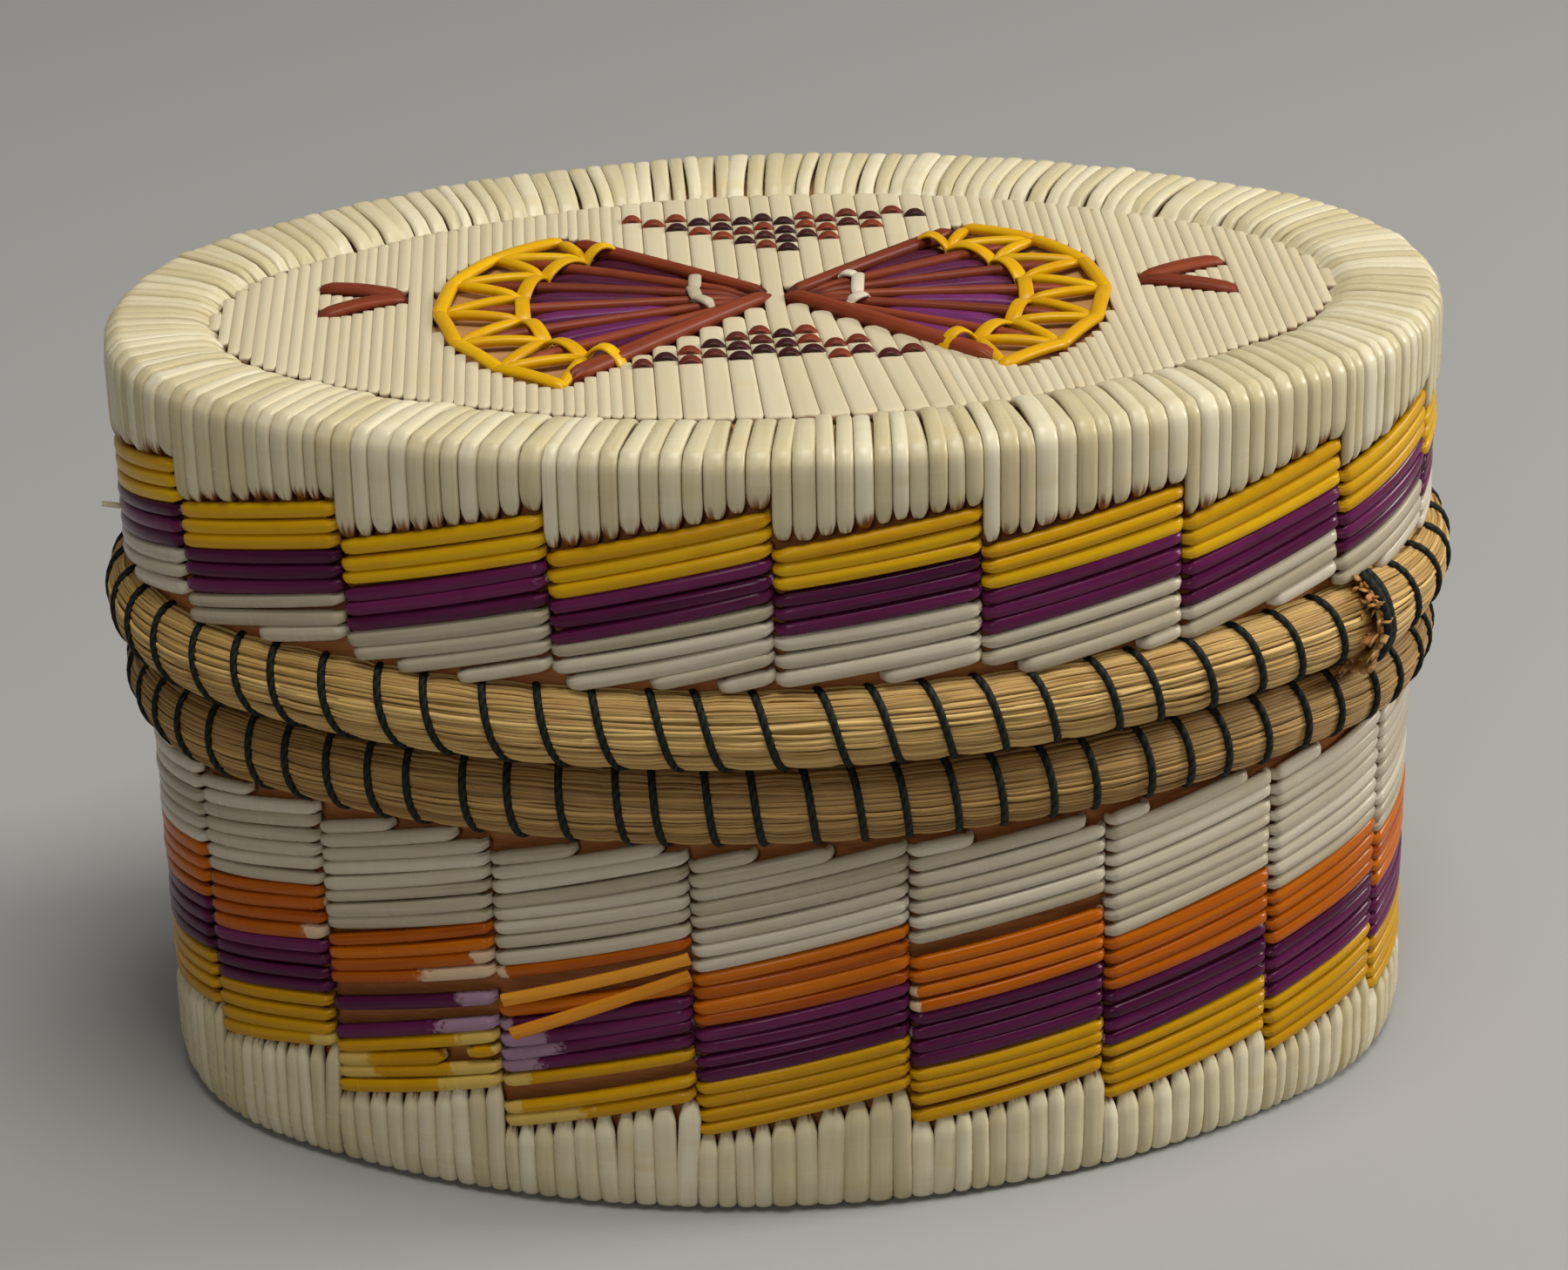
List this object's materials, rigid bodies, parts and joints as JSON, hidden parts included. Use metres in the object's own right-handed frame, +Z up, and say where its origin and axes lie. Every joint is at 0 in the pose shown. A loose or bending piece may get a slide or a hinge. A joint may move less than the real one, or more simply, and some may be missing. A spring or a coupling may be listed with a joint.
{
  "type": "quillwork box",
  "caption": "Oval lidded birch-bark box covered with dyed porcupine quills, with thread-wrapped sweetgrass rims and a lid that lifts off its inner collar.",
  "frame": {"origin": "on the surface the box stands on, below the middle of its outline", "axes": "+X along the long way of the oval, to the right in the picture; +Y to the back; +Z up"},
  "size_m": [0.1328, 0.0848, 0.0807],
  "materials": {
    "bark": "matt",
    "lining_bark": "matt",
    "sweetgrass": "dry straw",
    "dark_thread": "matt",
    "cream_quill": "silky",
    "white_quill": "silky",
    "yellow_quill": "silky",
    "orange_quill": "silky",
    "purple_quill": "silky",
    "red_quill": "silky",
    "dark_quill": "silky"
  },
  "bodies": {
    "base": {"base_floor": "bark", "base_floor_liner": "lining_bark", "base_wall": "bark", "base_liner": "lining_bark", "base_rim_sweetgrass": "sweetgrass", "base_rim_thread": "dark_thread", "base_white_quills": "white_quill", "base_orange_quills": "orange_quill", "base_purple_quills": "purple_quill", "base_yellow_quills": "yellow_quill", "base_foot_quills": "cream_quill"},
    "lid": {"lid_top": "bark", "lid_top_liner": "lining_bark", "lid_wall": "bark", "lid_wall_liner": "lining_bark", "lid_rim_sweetgrass": "sweetgrass", "lid_rim_thread": "dark_thread", "lid_edge_quills": "cream_quill", "lid_field_quills": "cream_quill", "lid_yellow_quills": "yellow_quill", "lid_purple_quills": "purple_quill", "lid_white_quills": "white_quill", "fan_ribs": "red_quill", "fan_purple_quills": "purple_quill", "fan_lattice": "yellow_quill", "fan_white_ties": "white_quill", "check_stitches": "dark_quill", "vee_quills": "red_quill"}
  },
  "joints": [
    {"name": "lid_lift", "type": "slide", "parent": "base", "child": "lid", "axis": [0, 0, 1], "range_m": [0, 0.04]}
  ]
}
